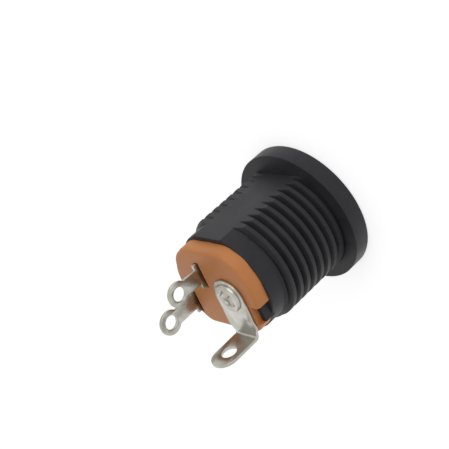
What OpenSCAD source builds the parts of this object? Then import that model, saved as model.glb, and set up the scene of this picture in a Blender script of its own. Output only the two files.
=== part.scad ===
// Panel-mount DC barrel jack, solder-lug type, for a plug with a round sleeve.
// It stands on the face of its flange: Z = 0 is that face, and +Z runs along
// the threaded barrel to the three solder terminals. The flat on the thread
// faces -Y. Millimetres throughout.

/* [Flange] */
// Diameter of the flange that bears on the panel
flange_d = 14; // [13:0.1:18]
// Thickness of the flange
flange_t = 1.85; // [1.2:0.05:3]
// Bevel round the front edge of the flange
flange_bevel = 0.25; // [0.1:0.05:0.5]

/* [Threaded barrel] */
// Diameter over the thread crests
thread_d = 11.6; // [11.4:0.05:12.2]
// Distance from one thread crest to the next
thread_pitch = 1; // [0.8:0.05:1.2]
// Depth of the thread grooves
thread_depth = 0.5; // [0.3:0.05:0.6]
// Number of thread grooves
thread_turns = 8; // [6:1:12]
// Diameter of the smooth collar behind the thread
collar_d = 10.65; // [10.5:0.05:11.2]
// Length of the smooth collar
collar_l = 1.7; // [1.2:0.1:3]
// Distance from the barrel axis to the flat that stops it turning
flat_y = 5; // [4.85:0.05:5.2]
// Thickness of the barrel's wall at the collar
wall_t = 0.725; // [0.65:0.025:0.8]

/* [Socket] */
// Diameter of the plug's sleeve
plug_d = 5.5; // [5:0.1:5.6]
// Play of the plug in the entry, on the diameter
plug_play = 0.2; // [0.1:0.05:0.4]
// Diameter of the centre pin
pin_d = 2.1; // [1.3:0.1:2.5]
// Distance of the socket's axis from the barrel's axis
socket_offset = 1.9; // [1.4:0.05:2]
// Length of the narrow mouth that guides the plug
mouth_l = 1.4; // [0.8:0.1:2]
// Depth of the pin's tip behind the mouth
pin_recess = 0.2; // [0.1:0.1:1]
// Extra radius of the bore behind the mouth
mouth_step = 0.2; // [0.2:0.05:0.3]
// Thickness of the front wall round the entry
front_wall = 3.2; // [2.4:0.1:4]
// Bevel round the mouth of the entry
mouth_bevel = 0.4; // [0.2:0.05:0.6]

/* [Insulator] */
// Thickness of the insulator behind the rim
insulator_t = 1.45; // [1:0.05:2.5]
// Rounding of the insulator's rear edges
insulator_round = 0.35; // [0.1:0.05:0.5]
// Depth of the spigot that centres the insulator in the barrel
spigot_l = 1; // [0.6:0.1:1.6]
// Play of the spigot in the barrel, on the radius
spigot_play = 0.05; // [0.03:0.01:0.15]
// Width of the notch for the housing's key
notch_w = 1.95; // [1.4:0.05:2.4]
// Height of the key above the rim
key_h = 0.85; // [0.5:0.05:1.2]
// Play of the key in the notch, on each side
key_play = 0.05; // [0.03:0.01:0.15]

/* [Pin lug] */
// Thickness of the terminal sheet
sheet_t = 0.3; // [0.2:0.05:0.4]
// Width of the lug on the insulator
lug_w = 3.6; // [3.2:0.1:4]
// Width of the lug's upright leg
leg_w = 2.8; // [2.2:0.1:3.2]
// Distance from the barrel axis to the inner face of the leg
leg_y = 4.35; // [4.3:0.05:5]
// Length of the leg above the insulator
leg_l = 4.65; // [4:0.05:8]
// Diameter of the wire hole in the leg
leg_hole_d = 1.5; // [1:0.1:1.8]
// Height of the leg's wire hole above the insulator
leg_hole_h = 2.75; // [2.4:0.05:4]

/* [Riveted tail] */
// Diameter of the riveted head on the centre pin's tail
rivet_d = 2.9; // [2.5:0.1:3.2]
// Height of the riveted head above the lug
rivet_h = 0.3; // [0.15:0.05:0.5]
// Diameter of the punched hollow in the riveted head
punch_d = 1.6; // [1.2:0.1:1.8]

/* [Contact terminals] */
// Width of a terminal's neck
neck_w = 1.6; // [1.2:0.1:2]
// Diameter of the eyelet
eyelet_d = 2.45; // [2:0.05:2.8]
// Diameter of the eyelet's wire hole
eyelet_hole_d = 1.35; // [0.9:0.05:1.5]
// Height of the sleeve terminal's eyelet above the insulator
sleeve_eyelet_h = 2.85; // [2.4:0.05:6]
// Height of the switch terminal's eyelet above the insulator
switch_eyelet_h = 3.45; // [2.4:0.05:6]
// Width of the contact where it is held in its slot
root_w = 2.6; // [2.2:0.1:2.8]
// Width of the slots in the insulator
slot_t = 0.65; // [0.5:0.05:0.8]

/* [Hidden] */

$fn = 96;
EPS = 0.01;

black_plastic = "#232327";
tan_plastic = "#c67c42";
plating = "#b9b8b2";

// Heights along the barrel
thread_end_z = flange_t + (thread_turns + 0.45) * thread_pitch;
rim_z = thread_end_z + collar_l;
seat_z = rim_z - spigot_l;
top_z = rim_z + insulator_t;
lug_top_z = top_z + sheet_t;

// Thread profile, cut as a 60 degree groove with a narrow flat root
thread_r = thread_d / 2;
root_r = thread_r - thread_depth;
root_half = 0.06 * thread_pitch;
groove_half = thread_depth * tan(30) + root_half;
first_groove = 0.4;

// Hollow for the contacts
cavity_r = collar_d / 2 - wall_t;

// Socket and pin, on an axis beside the barrel's own
socket_x = -socket_offset;
entry_r = (plug_d + plug_play) / 2;
tip_z = mouth_l + pin_recess;
tip_l = 0.7;
tip_inset = 0.35;
shank_r = 0.9;
shoulder_r = 1.7;
shoulder_t = 0.5;
rivet_bevel = 0.12;
bore_end_z = seat_z - shoulder_t;

// Insulator outline: flats on the circle of the collar, as [angle, distance]
facet_inset = 0.2;
corner_inset = 0.1;
side_inset = 0.3;
thread_flat_inset = 0.8;
lug_flat_inset = 1.15;
facet_d = collar_d / 2 - facet_inset;
corner_d = collar_d / 2 - corner_inset;
side_d = collar_d / 2 - side_inset;
INSULATOR_FLATS = [
    [-90, collar_d / 2 - thread_flat_inset], [90, collar_d / 2 - lug_flat_inset],
    [0, side_d], [180, side_d],
    [-124.5, facet_d], [-55.5, facet_d],
    [-157, facet_d], [-23, facet_d],
    [137, corner_d], [43, corner_d]
];
notch_y = 1;
notch_inset = 1.4;
notch_x = notch_inset - collar_d / 2;
key_t = 0.55;

// Places of the two contact strips: the near face of each, and its middle
strip_gap = 0.35;
switch_inset = 1.125;
sleeve_x = socket_x + plug_d / 2 + strip_gap;
switch_x = side_d - switch_inset;
terminal_inset = 3.625;
terminal_y = collar_d / 2 - terminal_inset;
root_rise = 0.35;
slot_play = 0.1;
slot_l = root_w + 2 * slot_play;

// Leaves inside the hollow, under a bar that is joined to the root by a stem
leaf_w = 1.9;
stem_w = 1.3;
bar_gap = 0.05;
bar_top_z = seat_z - bar_gap;
bar_h = 0.7;
bend_drop = 1;
leaf_bend_z = seat_z - bend_drop;
leaf_press = 0.2;
leaf_gap = 0.02;
touch_h = 2.4;
touch_l = 0.8;
tail_h = 0.7;
tail_out = 0.65;
touch_x = socket_x + plug_d / 2 - leaf_press + sheet_t / 2;
SLEEVE_TAIL = [
    [touch_x, front_wall + touch_h], [sleeve_x + tail_out, front_wall + tail_h]
];

// A block wider than the part, cut back to a plane and rounded along its edge
module rounded_side(angle, distance, height, radius) {
    span = 2 * flange_d;
    rotate([0, 0, angle])
        difference() {
            translate([-span, -span / 2, 0])
                cube([span + distance, span, height]);
            translate([distance - radius, -span / 2 - EPS, height - radius])
                difference() {
                    cube([radius + 1, span + 2 * EPS, radius + 1]);
                    translate([0, -EPS, 0])
                        rotate([-90, 0, 0])
                            cylinder(r = radius, h = span + 4 * EPS, $fn = 48);
                }
        }
}

// A strip of sheet that follows points in a plane, with round bends and tip
module bent_strip(points, thickness, width) {
    rotate([90, 0, 0])
        linear_extrude(width, center = true) {
            for (i = [0 : len(points) - 2]) {
                step = points[i + 1] - points[i];
                translate(points[i])
                    rotate(atan2(step[1], step[0]))
                        translate([0, -thickness / 2])
                            square([norm(step), thickness]);
            }
            for (i = [1 : len(points) - 1])
                translate(points[i])
                    circle(d = thickness, $fn = 24);
        }
}

// An upright terminal: root in its slot, narrow neck and round eyelet
module terminal(eyelet_h) {
    root_low = rim_z + bar_gap;
    translate([0, -root_w / 2, root_low])
        cube([sheet_t, root_w, top_z + root_rise - root_low]);
    difference() {
        union() {
            translate([0, -neck_w / 2, top_z])
                cube([sheet_t, neck_w, eyelet_h]);
            translate([0, 0, top_z + eyelet_h])
                rotate([0, 90, 0])
                    cylinder(d = eyelet_d, h = sheet_t);
        }
        translate([-EPS, 0, top_z + eyelet_h])
            rotate([0, 90, 0])
                cylinder(d = eyelet_hole_d, h = sheet_t + 2 * EPS);
    }
}

module housing_turned() {
    grooves = [
        for (i = [0 : thread_turns - 1])
            let (z = flange_t + (i + first_groove) * thread_pitch)
                each [
                    [thread_r, z - groove_half], [root_r, z - root_half],
                    [root_r, z + root_half], [thread_r, z + groove_half]
                ]
    ];
    rotate_extrude()
        polygon(concat(
            [
                [0, 0], [flange_d / 2 - flange_bevel, 0],
                [flange_d / 2, flange_bevel], [flange_d / 2, flange_t],
                [thread_r, flange_t]
            ],
            grooves,
            [
                [thread_r, thread_end_z - (thread_r - collar_d / 2)],
                [collar_d / 2, thread_end_z], [collar_d / 2, rim_z],
                [0, rim_z]
            ]));
}

module housing() {
    color(black_plastic) {
        difference() {
            housing_turned();
            // flat that stops the jack turning in its panel
            translate([-flange_d, -flat_y - flange_d, flange_t])
                cube([2 * flange_d, flange_d, rim_z]);
            // hollow for the contacts
            translate([0, 0, front_wall])
                cylinder(r = cavity_r, h = rim_z);
            // entry for the plug: bevel, narrow mouth, and the bore behind it
            translate([socket_x, 0, 0]) {
                translate([0, 0, -EPS])
                    cylinder(r1 = entry_r + mouth_bevel + EPS, r2 = entry_r,
                             h = mouth_bevel + EPS);
                cylinder(r = entry_r, h = mouth_l + EPS);
                translate([0, 0, mouth_l])
                    cylinder(r = entry_r + mouth_step, h = bore_end_z - mouth_l);
            }
        }
        // key that stands on the rim, in the insulator's notch
        translate([notch_x - key_play - key_t, notch_y + key_play, rim_z - EPS])
            cube([key_t, notch_w - 2 * key_play, key_h + EPS]);
    }
}

module insulator_body() {
    intersection_for (flat = INSULATOR_FLATS)
        translate([0, 0, rim_z])
            rounded_side(flat[0], flat[1], insulator_t, insulator_round);
    translate([0, 0, seat_z])
        cylinder(r = cavity_r - spigot_play, h = spigot_l + EPS);
}

module insulator() {
    slot_h = insulator_t + spigot_l + 2 * EPS;
    color(tan_plastic)
        difference() {
            insulator_body();
            // notch for the housing's key
            translate([notch_x - flange_d, notch_y, seat_z - EPS])
                cube([flange_d, notch_w, slot_h]);
            // hole for the shank of the pin
            translate([socket_x, 0, seat_z - EPS])
                cylinder(r = shank_r, h = slot_h);
            // slots for the two contact strips
            for (place = [[sleeve_x, -terminal_y], [switch_x, terminal_y]])
                translate([place[0] + sheet_t - slot_t, place[1] - slot_l / 2,
                           seat_z - EPS])
                    cube([slot_t, slot_l, slot_h]);
        }
}

module centre_pin() {
    head_z = lug_top_z + rivet_h;
    color(plating)
        translate([socket_x, 0, 0])
            difference() {
                rotate_extrude()
                    polygon([
                        [0, tip_z], [pin_d / 2 - tip_inset, tip_z],
                        [pin_d / 2, tip_z + tip_l], [pin_d / 2, bore_end_z],
                        [shoulder_r, bore_end_z], [shoulder_r, seat_z],
                        [shank_r, seat_z], [shank_r, lug_top_z],
                        [rivet_d / 2, lug_top_z], [rivet_d / 2, head_z - rivet_bevel],
                        [rivet_d / 2 - rivet_bevel, head_z], [0, head_z]
                    ]);
                // hollow left by the star punch that spread the tail
                translate([0, 0, lug_top_z])
                    cylinder(d1 = 0.6 * punch_d, d2 = punch_d, h = rivet_h + EPS);
            }
}

module pin_lug() {
    inner_bend_r = 0.2;
    shoulder_l = 1;
    bend_r = sheet_t + inner_bend_r;
    hole_z = top_z + leg_hole_h;
    shoulder_y = leg_y - shoulder_l;
    color(plating)
        translate([socket_x, 0, 0]) {
            // plate on the insulator, with a round end on the rivet
            difference() {
                translate([0, 0, top_z])
                    linear_extrude(sheet_t) {
                        circle(d = lug_w);
                        polygon([
                            [-lug_w / 2, 0], [lug_w / 2, 0],
                            [lug_w / 2, shoulder_y], [leg_w / 2, leg_y + sheet_t - bend_r],
                            [-leg_w / 2, leg_y + sheet_t - bend_r], [-lug_w / 2, shoulder_y]
                        ]);
                    }
                translate([0, 0, top_z - EPS])
                    cylinder(r = shank_r, h = sheet_t + 2 * EPS);
            }
            // round bend
            translate([0, leg_y + sheet_t - bend_r, top_z + bend_r])
                rotate([0, 90, 0])
                    intersection() {
                        difference() {
                            cylinder(r = bend_r, h = leg_w, center = true);
                            cylinder(r = bend_r - sheet_t, h = leg_w + 1, center = true);
                        }
                        translate([0, 0, -leg_w])
                            cube([bend_r + 1, bend_r + 1, 2 * leg_w]);
                    }
            // upright leg with a round tip and a wire hole
            difference() {
                union() {
                    translate([-leg_w / 2, leg_y, top_z + bend_r])
                        cube([leg_w, sheet_t, leg_l - bend_r - leg_w / 2]);
                    translate([0, leg_y, top_z + leg_l - leg_w / 2])
                        rotate([-90, 0, 0])
                            cylinder(d = leg_w, h = sheet_t);
                }
                translate([0, leg_y - EPS, hole_z])
                    rotate([-90, 0, 0])
                        cylinder(d = leg_hole_d, h = sheet_t + 2 * EPS);
            }
        }
}

// One contact blank: terminal outside, stem through the insulator, bar and leaf
module contact(x, eyelet_h, leaf_points) {
    translate([x, terminal_y, 0])
        terminal(eyelet_h);
    translate([x, terminal_y - stem_w, bar_top_z - EPS])
        cube([sheet_t, stem_w, rim_z - bar_top_z + 2 * sheet_t]);
    translate([x, -leaf_w / 2, bar_top_z - bar_h])
        cube([sheet_t, terminal_y + leaf_w / 2, bar_h]);
    bent_strip(leaf_points, sheet_t, leaf_w);
}

module sleeve_contact() {
    middle_x = sleeve_x + sheet_t / 2;
    // the leaf bows in against the plug's sleeve
    color(plating)
        mirror([0, 1, 0])
            contact(sleeve_x, sleeve_eyelet_h, [
                [middle_x, bar_top_z - bar_h / 2], [middle_x, leaf_bend_z],
                [touch_x, front_wall + touch_h + touch_l], SLEEVE_TAIL[0], SLEEVE_TAIL[1]
            ]);
}

module switch_contact() {
    middle_x = switch_x + sheet_t / 2;
    tail = SLEEVE_TAIL[1] - SLEEVE_TAIL[0];
    across = [-tail[1], tail[0]] / norm(tail);
    tip_rise = 1.2;
    rest_on = (SLEEVE_TAIL[0] + SLEEVE_TAIL[1]) / 2 + across * (sheet_t + leaf_gap);
    // the tip of the leaf rests on the back of the sleeve contact
    color(plating)
        contact(switch_x, switch_eyelet_h, [
            [middle_x, bar_top_z - bar_h / 2], [middle_x, leaf_bend_z],
            [middle_x - tail_h, rest_on[1] + tip_rise], rest_on
        ]);
}

housing();
insulator();
centre_pin();
pin_lug();
sleeve_contact();
switch_contact();
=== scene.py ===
# %% [markdown]
# # A panel-mount DC barrel jack
# The jack is a black moulded barrel with a flange and a thread, closed at the
# rear by a tan insulator that carries a riveted pin, a solder lug and two
# eyelet terminals. The imported CAD model is the frame: every piece below is made
# in its coordinates, in metres, standing on the face of the flange. The box of
# the dressed part is printed at the end.

import math

import bmesh
import bpy
from mathutils import Matrix, Vector


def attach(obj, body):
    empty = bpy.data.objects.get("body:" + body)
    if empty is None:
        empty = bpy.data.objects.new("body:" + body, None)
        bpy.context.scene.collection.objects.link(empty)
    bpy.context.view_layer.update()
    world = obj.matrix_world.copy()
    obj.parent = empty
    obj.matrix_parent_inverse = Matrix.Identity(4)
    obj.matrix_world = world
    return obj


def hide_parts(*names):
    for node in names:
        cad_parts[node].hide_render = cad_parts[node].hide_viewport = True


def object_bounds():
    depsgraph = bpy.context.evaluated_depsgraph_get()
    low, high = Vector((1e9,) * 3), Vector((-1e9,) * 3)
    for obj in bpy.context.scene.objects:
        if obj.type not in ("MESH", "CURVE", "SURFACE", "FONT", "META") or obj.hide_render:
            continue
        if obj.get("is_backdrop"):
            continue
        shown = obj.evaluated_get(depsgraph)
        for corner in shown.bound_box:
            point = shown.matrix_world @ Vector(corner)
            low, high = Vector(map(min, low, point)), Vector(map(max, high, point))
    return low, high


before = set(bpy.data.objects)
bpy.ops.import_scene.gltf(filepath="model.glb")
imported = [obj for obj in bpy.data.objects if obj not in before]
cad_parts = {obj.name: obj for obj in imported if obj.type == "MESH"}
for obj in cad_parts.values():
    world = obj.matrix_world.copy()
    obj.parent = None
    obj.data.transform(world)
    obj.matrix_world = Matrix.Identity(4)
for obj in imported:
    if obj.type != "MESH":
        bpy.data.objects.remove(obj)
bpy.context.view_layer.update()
MM = 0.001

# %% [markdown]
# ## Camera
# A product shot of a small connector is taken with a long lens from close by.
# Blender could aim the camera with a Track To constraint, but that always keeps
# the world's up direction up. This jack was lying on its side in front of the
# camera, so the camera is built from its own three axes: back, right and up,
# with a roll angle about the line of sight.

# %% Camera
AIM = Vector((5.11, -1.70, 6.29)) * MM
DISTANCE = 110 * MM
AZIMUTH, ELEVATION, ROLL = (math.radians(a) for a in (-58.94, 29.09, 131.55))
back = Vector((
    math.sin(AZIMUTH) * math.cos(ELEVATION),
    -math.cos(AZIMUTH) * math.cos(ELEVATION),
    math.sin(ELEVATION),
))
level_right = Vector((0, 0, 1)).cross(back).normalized()
level_up = back.cross(level_right)
cam_right = math.cos(ROLL) * level_right - math.sin(ROLL) * level_up
cam_up = math.sin(ROLL) * level_right + math.cos(ROLL) * level_up
turn = Matrix((cam_right, cam_up, back)).transposed().to_4x4()
camera = bpy.data.objects.new("camera", bpy.data.cameras.new("camera"))
bpy.context.scene.collection.objects.link(camera)
camera.matrix_world = Matrix.Translation(AIM + back * DISTANCE) @ turn
camera.data.lens = 92.05
camera.data.clip_start, camera.data.clip_end = 0.005, 5
bpy.context.scene.camera = camera
print("camera at mm:", [round(c / MM, 1) for c in camera.matrix_world.translation])

# %% [markdown]
# ## Node trees in a few words
# Materials and Geometry Nodes trees are both graphs. A small builder keeps each
# line short: `make` adds a node, sets its properties and fills its inputs, where
# an input may be a plain value or another node's output.

# %% Tree builder
class Tree:
    """Short calls that add nodes to one node tree."""

    def __init__(self, tree, math_kind):
        self.tree, self.math_kind = tree, math_kind

    def make(self, kind, inputs=(), **settings):
        node = self.tree.nodes.new(kind)
        for key, value in settings.items():
            setattr(node, key, value)
        for key, value in dict(inputs).items():
            self.put(node.inputs[key], value)
        return node

    def put(self, socket, value):
        if isinstance(value, bpy.types.Node):
            value = next(o for o in value.outputs if o.enabled)
        if isinstance(value, bpy.types.NodeSocket):
            self.tree.links.new(value, socket)
        elif value is not None:
            socket.default_value = value

    def calc(self, operation, a, b=None, c=None):
        return self.make(self.math_kind, {0: a, 1: b, 2: c}, operation=operation)

    def span(self, value, low, high, out_low=0.0, out_high=1.0, ease="LINEAR"):
        """Value from low..high becomes out_low..out_high, and stays inside."""
        return self.make(
            "ShaderNodeMapRange",
            {0: value, 1: low, 2: high, 3: out_low, 4: out_high},
            interpolation_type=ease, clamp=True,
        ).outputs[0]


def new_material(name):
    """An empty material with its shader, its output and a builder."""
    mat = bpy.data.materials.new(name)
    mat.use_nodes = True
    mat.node_tree.nodes.clear()
    t = Tree(mat.node_tree, "ShaderNodeMath")
    shader = t.make("ShaderNodeBsdfPrincipled")
    out = t.make("ShaderNodeOutputMaterial", {"Surface": shader.outputs[0]})
    place = t.make("ShaderNodeTexCoord").outputs["Object"]
    return mat, t, shader, out, place


def noise(t, place, scale_mm, detail=2.0, stretch=(1, 1, 1), shift=(0, 0, 0)):
    """Noise whose blobs are about scale_mm across, on Object coordinates."""
    per_metre = 1 / (scale_mm * MM)
    mapped = t.make(
        "ShaderNodeMapping",
        {"Vector": place, "Scale": [per_metre * s for s in stretch], "Location": shift},
    )
    return t.make(
        "ShaderNodeTexNoise", {"Vector": mapped.outputs[0], "Scale": 1.0, "Detail": detail}
    ).outputs["Fac"]


print("builder ready")

# %% [markdown]
# ## Black moulded plastic
# The housing is a glass-filled nylon moulding. Its cavity was spark-eroded, so
# the skin has a fine matt grain, and handling has left dust and pale scuffs. The
# finish could be painted in a texture, but noise in Object coordinates keeps its
# true scale on any shape: one noise for the grain, one for soft blotches in the
# gloss, and one, cut off high, for the specks of dust.

# %% Black plastic
black, t, shader, out, place = new_material("black_plastic")
grain = noise(t, place, 0.09, detail=3.0)
blotch = noise(t, place, 2.2, detail=3.0, shift=(3, 1, 2))
dust = noise(t, place, 0.17, detail=1.0, shift=(7, 5, 1))
patch = noise(t, place, 3.2, detail=2.0, shift=(1, 9, 4))
speck = t.calc(
    "MULTIPLY", t.span(dust, 0.74, 0.80), t.span(patch, 0.50, 0.62)
)
colour = t.make(
    "ShaderNodeMix",
    {
        "Factor": t.span(blotch, 0.3, 0.7),
        "A": (0.026, 0.026, 0.029, 1),
        "B": (0.036, 0.036, 0.040, 1),
    },
    data_type="RGBA",
)
dusty = t.make(
    "ShaderNodeMix",
    {"Factor": t.calc("MULTIPLY", speck, 0.55), "A": colour, "B": (0.35, 0.35, 0.36, 1)},
    data_type="RGBA",
)
t.put(shader.inputs["Base Color"], dusty.outputs["Result"])
t.put(shader.inputs["Roughness"], t.span(blotch, 0.3, 0.7, 0.42, 0.55))
shader.inputs["Specular IOR Level"].default_value = 0.2
bump = t.make("ShaderNodeBump", {"Height": grain, "Strength": 0.25, "Distance": 0.02 * MM})
t.put(shader.inputs["Normal"], bump.outputs[0])
print("black plastic:", len(black.node_tree.nodes), "nodes")

# %% [markdown]
# ## Tan moulded plastic
# The insulator is an unfilled moulding with a satin skin. It is warmer and
# paler where the flow of plastic met the mould last, so a large slow noise
# shifts the colour a little, and a fine one keeps the gloss from looking clean.

# %% Tan plastic
tan, t, shader, out, place = new_material("tan_plastic")
flow = noise(t, place, 3.5, detail=2.0, shift=(2, 2, 5))
skin = noise(t, place, 0.14, detail=2.0)
colour = t.make(
    "ShaderNodeMix",
    {
        "Factor": t.span(flow, 0.3, 0.7),
        "A": (0.60, 0.215, 0.058, 1),
        "B": (0.68, 0.26, 0.075, 1),
    },
    data_type="RGBA",
)
t.put(shader.inputs["Base Color"], colour.outputs["Result"])
t.put(shader.inputs["Roughness"], t.span(flow, 0.3, 0.7, 0.42, 0.52))
bump = t.make("ShaderNodeBump", {"Height": skin, "Strength": 0.12, "Distance": 0.02 * MM})
t.put(shader.inputs["Normal"], bump.outputs[0])
print("tan plastic:", len(tan.node_tree.nodes), "nodes")

# %% [markdown]
# ## Tin-nickel plate
# The terminals are stamped from brass strip that is plated before it is cut. A
# metal's look is what it reflects, so its colour stays light and even while a
# stretched noise along the strip roughens it as rolling lines do, and a slow
# noise dulls it in patches where fingers have touched it.

# %% Plating
plate, t, shader, out, place = new_material("plating")
rolled = noise(t, place, 0.08, detail=2.0, stretch=(1, 1, 0.15))
dull = noise(t, place, 1.4, detail=3.0, shift=(4, 0, 8))
colour = t.make(
    "ShaderNodeMix",
    {
        "Factor": t.span(dull, 0.35, 0.7),
        "A": (0.52, 0.51, 0.47, 1),
        "B": (0.38, 0.37, 0.32, 1),
    },
    data_type="RGBA",
)
t.put(shader.inputs["Base Color"], colour.outputs["Result"])
t.put(shader.inputs["Roughness"], t.span(dull, 0.35, 0.7, 0.24, 0.36))
shader.inputs["Metallic"].default_value = 1.0
bump = t.make("ShaderNodeBump", {"Height": rolled, "Strength": 0.2, "Distance": 0.006 * MM})
t.put(shader.inputs["Normal"], bump.outputs[0])
print("plating:", len(plate.node_tree.nodes), "nodes")

# %% [markdown]
# ## Helpers for solid pieces
# A turned shape is a profile of radius and height carried round an axis; a
# moulded shape is such solids added and cut. `lathe` makes the first, and
# `carve` applies Boolean modifiers, then reads the result back as a plain mesh.
# Last, `crisp` shades faces smooth but keeps edges sharper than an angle hard.

# %% Solid helpers
def link(name, mesh):
    obj = bpy.data.objects.new(name, mesh)
    bpy.context.scene.collection.objects.link(obj)
    return obj


def from_bmesh(name, bm):
    mesh = bpy.data.meshes.new(name)
    bm.to_mesh(mesh)
    bm.free()
    return link(name, mesh)


def join_rings(bm, rings, steps):
    """Faces between neighbouring rings; a ring of one point closes an end."""
    for low, high in zip(rings, rings[1:]):
        for i in range(steps):
            j = (i + 1) % steps
            corners = [
                low[i % len(low)], low[j % len(low)],
                high[j % len(high)], high[i % len(high)],
            ]
            face = list(dict.fromkeys(corners))
            if len(face) > 2:
                bm.faces.new(face)


def lathe(name, profile, steps=128, centre=(0, 0)):
    """A closed turned solid: profile is (radius, z) in mm from axis to axis."""
    bm = bmesh.new()
    rings = []
    for r, z in profile:
        count = steps if r > 1e-6 else 1
        rings.append([
            bm.verts.new((
                (centre[0] + r * math.cos(2 * math.pi * i / steps)) * MM,
                (centre[1] + r * math.sin(2 * math.pi * i / steps)) * MM,
                z * MM,
            ))
            for i in range(count)
        ])
    join_rings(bm, rings, steps)
    bmesh.ops.recalc_face_normals(bm, faces=bm.faces)
    return from_bmesh(name, bm)


def block(name, low, high):
    """A box between two corners, in mm, used only to cut or to join."""
    bm = bmesh.new()
    bmesh.ops.create_cube(bm, size=1)
    low, high = Vector(low) * MM, Vector(high) * MM
    for v in bm.verts:
        v.co = Vector((
            (low[k] + high[k]) / 2 + v.co[k] * (high[k] - low[k]) for k in range(3)
        ))
    return from_bmesh(name, bm)


def bake(obj):
    """The evaluated object becomes its own plain mesh, without modifiers."""
    dg = bpy.context.evaluated_depsgraph_get()
    mesh = bpy.data.meshes.new_from_object(obj.evaluated_get(dg))
    obj.modifiers.clear()
    obj.data = mesh
    return obj


def carve(obj, cut=(), join=()):
    tools = [(o, "UNION") for o in join] + [(o, "DIFFERENCE") for o in cut]
    for tool, operation in tools:
        mod = obj.modifiers.new(tool.name, "BOOLEAN")
        mod.operation, mod.solver, mod.object = operation, "MANIFOLD", tool
    bake(obj)
    for tool, _ in tools:
        bpy.data.objects.remove(tool)
    return obj


def crisp(obj, degrees=30):
    bm = bmesh.new()
    bm.from_mesh(obj.data)
    bmesh.ops.remove_doubles(bm, verts=bm.verts, dist=0.0005 * MM)
    for edge in bm.edges:
        closed = len(edge.link_faces) == 2
        edge.smooth = closed and edge.calc_face_angle(0) < math.radians(degrees)
    for face in bm.faces:
        face.smooth = True
    bm.to_mesh(obj.data)
    bm.free()
    return obj


def finish_piece(obj, slot, material, *nodes):
    """Gives a piece its material and its body, and hides the nodes it stands for. The slot argument is not
    used.
    """
    obj.data.materials.clear()
    obj.data.materials.append(material)
    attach(obj, "root")
    if nodes:
        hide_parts(*nodes)
    obj.data.calc_loop_triangles()
    print(obj.name, "triangles:", len(obj.data.loop_triangles))
    return obj


print("helpers ready")

# %% [markdown]
# ## Threaded barrel
# A real thread is a helix: go once round and it has climbed one pitch. Sweeping
# a groove along a spiral and cutting it out is slow and leaves ragged ends. The
# barrel follows a rule, so Geometry Nodes bends one flat grid instead. Each row
# of the grid climbs one pitch in one turn, which puts the rows exactly on the
# crests and roots. The radius then comes from the thread's profile, cut back by
# the flat and by the step to the collar, and the rows that pass an end are held
# there and welded.

# %% Sizes of the housing
PITCH = 1.0
CREST_R, ROOT_R, COLLAR_R = 5.8, 5.28, 5.325
FLAT = 5.0
FLANGE_R, FLANGE_T = 7.0, 1.85
THREAD_END, RIM = 10.3, 12.0
SOCKET_X = -1.9
FIRST_GROOVE = 2.2
HOLLOW_R, HOLLOW_FLOOR = 4.6, 3.2
ENTRY_R, BORE_R, MOUTH_L = 2.85, 3.05, 1.4
PIN_R, SHANK_R = 1.05, 0.9
SHOULDER_Z, SEAT = 10.5, 11
print("thread turns:", round((THREAD_END - FLANGE_T) / PITCH, 2))

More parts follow.
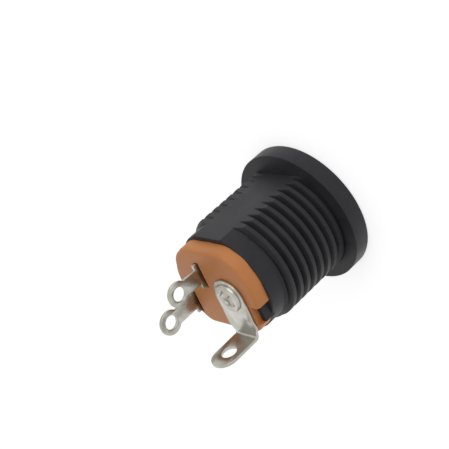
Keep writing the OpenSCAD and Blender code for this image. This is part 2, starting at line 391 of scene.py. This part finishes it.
# %% Thread rule as a Geometry Nodes tree
def thread_tree():
    tree = bpy.data.node_groups.new("threaded_barrel", "GeometryNodeTree")
    sizes = [
        ("Crest radius", CREST_R), ("Root radius", ROOT_R), ("Collar radius", COLLAR_R),
        ("Pitch", PITCH), ("Flat distance", FLAT), ("Start", FLANGE_T - 0.6),
        ("Thread end", THREAD_END), ("Rim", RIM), ("Groove at flat", FIRST_GROOVE),
    ]
    for name, value in sizes:
        socket = tree.interface.new_socket(name, in_out="INPUT", socket_type="NodeSocketFloat")
        socket.default_value = value
    for name, value in [("Columns", 300), ("Rows per turn", 20)]:
        socket = tree.interface.new_socket(name, in_out="INPUT", socket_type="NodeSocketInt")
        socket.default_value = value
    tree.interface.new_socket("Material", in_out="INPUT", socket_type="NodeSocketMaterial")
    tree.interface.new_socket("Geometry", in_out="OUTPUT", socket_type="NodeSocketGeometry")
    t = Tree(tree, "ShaderNodeMath")
    given = t.make("NodeGroupInput").outputs
    pitch, start, rim = given["Pitch"], given["Start"], given["Rim"]
    # a grid with one row for each step up, and a turn to spare
    turns = t.calc("ADD", t.calc("DIVIDE", t.calc("SUBTRACT", rim, start), pitch), 1.0)
    rows = t.calc("CEIL", t.calc("MULTIPLY", turns, given["Rows per turn"]))
    rows = t.calc("ADD", rows, 4.0)
    grid = t.make("GeometryNodeMeshGrid", {
        "Size X": 2.0, "Size Y": rows,
        "Vertices X": t.calc("ADD", given["Columns"], 1.0), "Vertices Y": t.calc("ADD", rows, 1.0),
    })
    at = t.make("ShaderNodeSeparateXYZ", {0: t.make("GeometryNodeInputPosition")})
    # the angle from the flat's middle, with finer columns near the flat
    side = at.outputs["X"]
    cube = t.calc("POWER", t.calc("ABSOLUTE", side), 3.0)
    cube = t.calc("MULTIPLY", cube, t.calc("SIGN", side))
    near, far = t.calc("MULTIPLY", side, 0.35), t.calc("MULTIPLY", cube, 0.65)
    angle = t.calc("MULTIPLY", t.calc("ADD", near, far), math.pi)
    climb = t.calc("MULTIPLY", t.calc("DIVIDE", angle, 2 * math.pi), pitch)
    # the height of each point, held between the two ends
    row = t.calc("ADD", at.outputs["Y"], t.calc("MULTIPLY", rows, 0.5))
    rise = t.calc("DIVIDE", t.calc("MULTIPLY", t.calc("SUBTRACT", row, 2.0), pitch), given["Rows per turn"])
    base = t.calc("SUBTRACT", start, t.calc("MULTIPLY", pitch, 0.5))
    free_z = t.calc("ADD", t.calc("ADD", base, rise), climb)
    z = t.calc("MINIMUM", t.calc("MAXIMUM", free_z, start), rim)
    # how far the point is from the middle of its groove
    phase = t.calc("DIVIDE", t.calc("SUBTRACT", t.calc("SUBTRACT", z, given["Groove at flat"]), climb), pitch)
    off = t.calc("MULTIPLY", t.calc("ABSOLUTE", t.calc("SUBTRACT", phase, t.calc("ROUND", phase))), pitch)
    ramp = t.span(off, 0.05, 0.30)
    soft = t.span(off, 0.02, 0.34, ease="SMOOTHSTEP")
    lift = t.calc("ADD", t.calc("MULTIPLY", ramp, 0.8), t.calc("MULTIPLY", soft, 0.2))
    depth = t.calc("SUBTRACT", given["Crest radius"], given["Root radius"])
    thread = t.calc("ADD", given["Root radius"], t.calc("MULTIPLY", lift, depth))
    # the step to the collar, and a small round on the rim
    step_start = t.calc("SUBTRACT", given["Thread end"], 0.45)
    step = t.span(
        z, step_start, given["Thread end"], given["Crest radius"], given["Collar radius"]
    )
    held = t.calc("MINIMUM", thread, step)
    past = t.calc("GREATER_THAN", z, t.calc("SUBTRACT", given["Thread end"], 0.02))
    before = t.calc("MULTIPLY", held, t.calc("SUBTRACT", 1.0, past))
    radius = t.calc("ADD", before, t.calc("MULTIPLY", given["Collar radius"], past))
    radius = t.calc("SUBTRACT", radius, t.span(z, t.calc("SUBTRACT", rim, 0.1), rim, 0.0, 0.08))
    # the flat: a plane is at distance / cos(angle) from the axis
    lean = t.calc("MAXIMUM", t.calc("COSINE", angle), 0.1)
    radius = t.calc("MINIMUM", radius, t.calc("DIVIDE", given["Flat distance"], lean))
    # the first and last rows close the ends at the axis
    inner = t.calc("GREATER_THAN", row, 0.5)
    outer = t.calc("LESS_THAN", row, t.calc("SUBTRACT", rows, 0.5))
    radius = t.calc("MULTIPLY", radius, t.calc("MULTIPLY", inner, outer))
    spot = t.make("ShaderNodeCombineXYZ", {
        "X": t.calc("MULTIPLY", radius, t.calc("SINE", angle)),
        "Y": t.calc("MULTIPLY", radius, t.calc("MULTIPLY", t.calc("COSINE", angle), -1.0)),
        "Z": z,
    })
    metres = t.make("ShaderNodeVectorMath", {0: spot, "Scale": MM}, operation="SCALE")
    bent = t.make("GeometryNodeSetPosition", {"Geometry": grid.outputs[0], "Position": metres})
    welded = t.make("GeometryNodeMergeByDistance", {"Geometry": bent, "Distance": 0.002 * MM})
    real = t.make("GeometryNodeRealizeInstances", {"Geometry": welded})
    done = t.make("GeometryNodeSetMaterial", {"Geometry": real, "Material": given["Material"]})
    t.make("NodeGroupOutput", {"Geometry": done})
    return tree


thread_rule = thread_tree()
print("thread rule:", len(thread_rule.nodes), "nodes")

# %% Build the barrel
housing = link("threaded_housing", bpy.data.meshes.new("threaded_housing"))
rule = housing.modifiers.new("thread", "NODES")
rule.node_group = thread_rule
inputs = {s.name: s.identifier for s in thread_rule.interface.items_tree if s.in_out == "INPUT"}
rule[inputs["Material"]] = black
bake(housing)


def outward(obj):
    """Turns a closed mesh right side out."""
    bm = bmesh.new()
    bm.from_mesh(obj.data)
    bmesh.ops.remove_doubles(bm, verts=bm.verts, dist=0.001 * MM)
    bmesh.ops.dissolve_degenerate(bm, edges=bm.edges, dist=0.0005 * MM)
    bmesh.ops.recalc_face_normals(bm, faces=bm.faces)
    open_edges = sum(len(e.link_faces) != 2 for e in bm.edges)
    bm.to_mesh(obj.data)
    bm.free()
    return open_edges


print("barrel faces:", len(housing.data.polygons), "open edges:", outward(housing))

# %% [markdown]
# ## Flange, hollow and key
# The flange is turned, with a small bevel at the front and a tight round at the
# rear. It joins the barrel, and the socket is cut through both: a bevelled
# mouth, a slightly wider bore behind it, and the hollow that holds the contacts.
# The key that locates the insulator stands on the rim.

# %% Flange and socket
flange = lathe("flange", [
    (0, 0), (6.75, 0), (6.95, 0.05), (FLANGE_R, 0.15),
    (FLANGE_R, 1.8), (6.95, FLANGE_T), (0, FLANGE_T),
], steps=192)
key_low, key_high = (-4.525, 1.05, RIM - 0.3), (-3.975, 2.9, 12.85)
key = block("key", key_low, key_high)
hollow = lathe("hollow", [
    (0, HOLLOW_FLOOR), (HOLLOW_R, HOLLOW_FLOOR), (HOLLOW_R, RIM + 1), (0, RIM + 1),
])
mouth = lathe("mouth", [
    (0, -0.1), (3.35, -0.1), (3.25, 0), (ENTRY_R, 0.4), (ENTRY_R, MOUTH_L),
    (BORE_R, MOUTH_L), (BORE_R, SHOULDER_Z), (0, SHOULDER_Z),
], centre=(SOCKET_X, 0))
carve(housing, join=[flange], cut=[hollow, mouth])
carve(housing, join=[key])
crisp(housing, 28)
finish_piece(housing, "black_plastic", black, "housing")

# %% [markdown]
# ## Insulator
# The tan insulator is moulded in a simple open tool: a disc with flats round it,
# soft corners, and a notch for the key. An outline could be drawn by hand, but
# the real one is a circle cut by straight flats, so the corners come from where
# neighbouring flats meet. The upright edges are rounded first and the rear edge
# after them, as a draughtsman would fillet a solid, and the slots are cut last,
# so that their edges stay sharp.

# %% Insulator outline
TOP = 13.45
FLATS = [
    (-157, 5.125), (-124.5, 5.125), (-90, 4.525), (-55.5, 5.125), (-23, 5.125),
    (0, 5.025), (43, 5.225), (90, 4.175), (137, 5.225), (180, 5.025),
]


def corner(first, second):
    """Where two flats meet, each given by its angle and distance in mm."""
    a, b = math.radians(first[0]), math.radians(second[0])
    across = Matrix(((math.cos(a), math.sin(a)), (math.cos(b), math.sin(b))))
    return across.inverted() @ Vector((first[1], second[1]))


corners = [corner(FLATS[i], FLATS[(i + 1) % len(FLATS)]) for i in range(len(FLATS))]
print("insulator corners mm:", [tuple(round(c, 2) for c in p) for p in corners])

# %% Insulator solid
bm = bmesh.new()
base = bm.faces.new([bm.verts.new((x * MM, y * MM, RIM * MM)) for x, y in corners])
grown = bmesh.ops.extrude_face_region(bm, geom=[base])
bmesh.ops.translate(
    bm, vec=(0, 0, (TOP - RIM) * MM),
    verts=[v for v in grown["geom"] if isinstance(v, bmesh.types.BMVert)],
)
bmesh.ops.recalc_face_normals(bm, faces=bm.faces)
upright = [e for e in bm.edges if abs(e.verts[0].co.z - e.verts[1].co.z) > 0.5 * MM]
bmesh.ops.bevel(bm, geom=upright, offset=0.6 * MM, segments=5, profile=0.5, affect="EDGES")
rear = [e for e in bm.edges if all(v.co.z > (TOP - 0.01) * MM for v in e.verts)]
bmesh.ops.bevel(bm, geom=rear, offset=0.38 * MM, segments=5, profile=0.5, affect="EDGES")
insulator = from_bmesh("tan_insulator", bm)
spigot = lathe("spigot", [(0, 11), (4.45, 11), (4.55, 11.1), (4.55, 12.2), (0, 12.2)])
notch = block("notch", (-9, 1.0, 10.5), (-3.925, 2.95, 14))
pin_hole = lathe("pin_hole", [
    (0, SHOULDER_Z), (SHANK_R, SHOULDER_Z), (SHANK_R, 14), (0, 14),
], steps=48, centre=(SOCKET_X, 0))
sleeve_slot = block("sleeve_slot", (0.85, -3.1, 10.5), (1.5, -0.3, 14))
switch_slot = block("switch_slot", (3.55, 0.3, 10.5), (4.2, 3.1, 14))
carve(insulator, join=[spigot], cut=[notch, pin_hole, sleeve_slot, switch_slot])
crisp(insulator, 35)
finish_piece(insulator, "tan_plastic", tan, "insulator")

# %% [markdown]
# ## Stamped pieces
# The lug and the two contacts are stamped from strip. A press rolls one edge
# over a little and tears the other, so no real edge is a knife edge, and each
# one catches a thin line of light. Their CAD shapes are right as they are, so a
# copy of each is welded, its flat triangles are joined, and a fine bevel goes
# round every sharp edge.

# %% Stamped lug and contacts
def stamped(name, node, edge=0.05, segments=2):
    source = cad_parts[node]
    bm = bmesh.new()
    bm.from_mesh(source.data)
    bmesh.ops.remove_doubles(bm, verts=bm.verts, dist=0.001 * MM)
    bmesh.ops.dissolve_limit(bm, angle_limit=math.radians(1.0), verts=bm.verts, edges=bm.edges)
    obj = from_bmesh(name, bm)
    bevel = obj.modifiers.new("edge", "BEVEL")
    bevel.width, bevel.segments, bevel.limit_method = edge * MM, segments, "ANGLE"
    bevel.angle_limit = math.radians(35)
    bevel.use_clamp_overlap = True
    bake(obj)
    return crisp(obj, 50)


lug = stamped("pin_lug_plate", "pin_lug")
finish_piece(lug, "plating", plate, "pin_lug")
sleeve_terminal = stamped("sleeve_terminal", "sleeve_contact")
finish_piece(sleeve_terminal, "plating", plate, "sleeve_contact")
switch_terminal = stamped("switch_terminal", "switch_contact")
finish_piece(switch_terminal, "plating", plate, "switch_contact")

# %% [markdown]
# ## Centre pin and its rivet
# The pin is turned. Its tail passes through the insulator and the lug, and a
# punch spreads it into a rivet head, which leaves a ragged hollow. The turned
# part is a lathe; the head is a disc of rings whose height follows a rule: a
# hollow whose edge wanders with the angle, and a rolled outer lip.

# %% Pin and rivet
HEAD_R, HEAD_BASE, HEAD_H = 1.45, 13.75, 0.3


def head_height(r, angle):
    """Height of the rivet head above the lug, in mm, at a radius and an angle."""
    edge = 0.80 + 0.07 * math.sin(3 * angle + 0.6) + 0.05 * math.sin(5 * angle + 2.0)
    inside = min(max((edge - r) / 0.16 + 0.5, 0), 1)
    inside = inside * inside * (3 - 2 * inside)
    fold = 0.05 * math.sin(4 * angle + 1.0) * inside
    lip = max(0.0, (r - (HEAD_R - 0.18)) / 0.18)
    return HEAD_H * (1 - 0.72 * inside) + fold - 0.14 * (1 - math.sqrt(max(0.0, 1 - lip * lip)))


bm = bmesh.new()
steps, rings = 96, 26
profile = [
    (0, 1.6), (0.7, 1.6), (PIN_R, 2.3), (PIN_R, SHOULDER_Z), (1.7, SHOULDER_Z),
    (1.7, SEAT), (SHANK_R, SEAT), (SHANK_R, HEAD_BASE), (HEAD_R, HEAD_BASE),
]
heights = [(HEAD_R * (1 - k / rings), None) for k in range(rings + 1)]
rows = []
for r, z in profile + heights:
    count = steps if r > 1e-6 else 1
    row = []
    for i in range(count):
        a = 2 * math.pi * i / steps
        high = z if z is not None else HEAD_BASE + head_height(r, a)
        row.append(bm.verts.new(((SOCKET_X + r * math.cos(a)) * MM, r * math.sin(a) * MM, high * MM)))
    rows.append(row)
join_rings(bm, rows, steps)
bmesh.ops.recalc_face_normals(bm, faces=bm.faces)
pin = from_bmesh("riveted_pin", bm)
crisp(pin, 40)
finish_piece(pin, "plating", plate, "centre_pin")

# %% [markdown]
# ## Floor, backdrop and light
# The jack stands on a plain pale floor. The floor is a white surface that also
# glows a little to the camera, so that it reads as white paper while the jack's
# shadow still falls on it. The light is a wide soft box on the side of the
# thread's flat, a weaker one opposite, and an even pale surrounding.

# %% Stage
def seen_directly(t):
    """1 for what the camera sees, also in a reflection or through glass."""
    rays = t.make("ShaderNodeLightPath").outputs
    mirrored = t.calc("MAXIMUM", rays["Is Glossy Ray"], rays["Is Transmission Ray"])
    return t.calc("MAXIMUM", rays["Is Camera Ray"], mirrored)


bm = bmesh.new()
bmesh.ops.create_circle(bm, cap_ends=True, segments=64, radius=0.9)
floor = from_bmesh("floor", bm)
floor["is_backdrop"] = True
paper, t, shader, out, place = new_material("paper")
shader.inputs["Base Color"].default_value = (0.9, 0.9, 0.9, 1)
shader.inputs["Roughness"].default_value = 0.9
seen = seen_directly(t)
glow = t.make("ShaderNodeEmission", {"Color": (1, 1, 1, 1), "Strength": t.calc("MULTIPLY", seen, 0.62)})
both = t.make("ShaderNodeAddShader", {0: shader.outputs[0], 1: glow.outputs[0]})
t.put(out.inputs["Surface"], both.outputs[0])
floor.data.materials.append(paper)

world = bpy.data.worlds.new("studio")
bpy.context.scene.world = world
world.use_nodes = True
world.node_tree.nodes.clear()
t = Tree(world.node_tree, "ShaderNodeMath")
seen = seen_directly(t)
level = t.span(seen, 0, 1, 0.42, 1.0)
sky = t.make("ShaderNodeBackground", {"Color": (1, 1, 1, 1), "Strength": level})
t.make("ShaderNodeOutputWorld", {"Surface": sky.outputs[0]})


def soft_box(name, direction, distance, size, power):
    """A square lamp, distance mm from the jack's middle, that faces it."""
    lamp = bpy.data.lights.new(name, "AREA")
    lamp.shape, lamp.size, lamp.energy = "SQUARE", size * MM, power
    obj = bpy.data.objects.new(name, lamp)
    bpy.context.scene.collection.objects.link(obj)
    way = Vector(direction).normalized()
    obj.location = Vector((0, 0, 8)) * MM + way * distance * MM
    obj.rotation_euler = way.to_track_quat("Z", "Y").to_euler()
    return obj


soft_box("key", (-0.45, -0.88, 0.12), 130, 110, 0.055)
soft_box("fill", (0.6, 0.5, 0.6), 160, 120, 0.008)
bpy.context.scene.view_settings.view_transform = "Standard"
print("stage ready")

# %% Sizes
low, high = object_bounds()
print("box mm:", [round(c / MM, 2) for c in (*low, *high)])
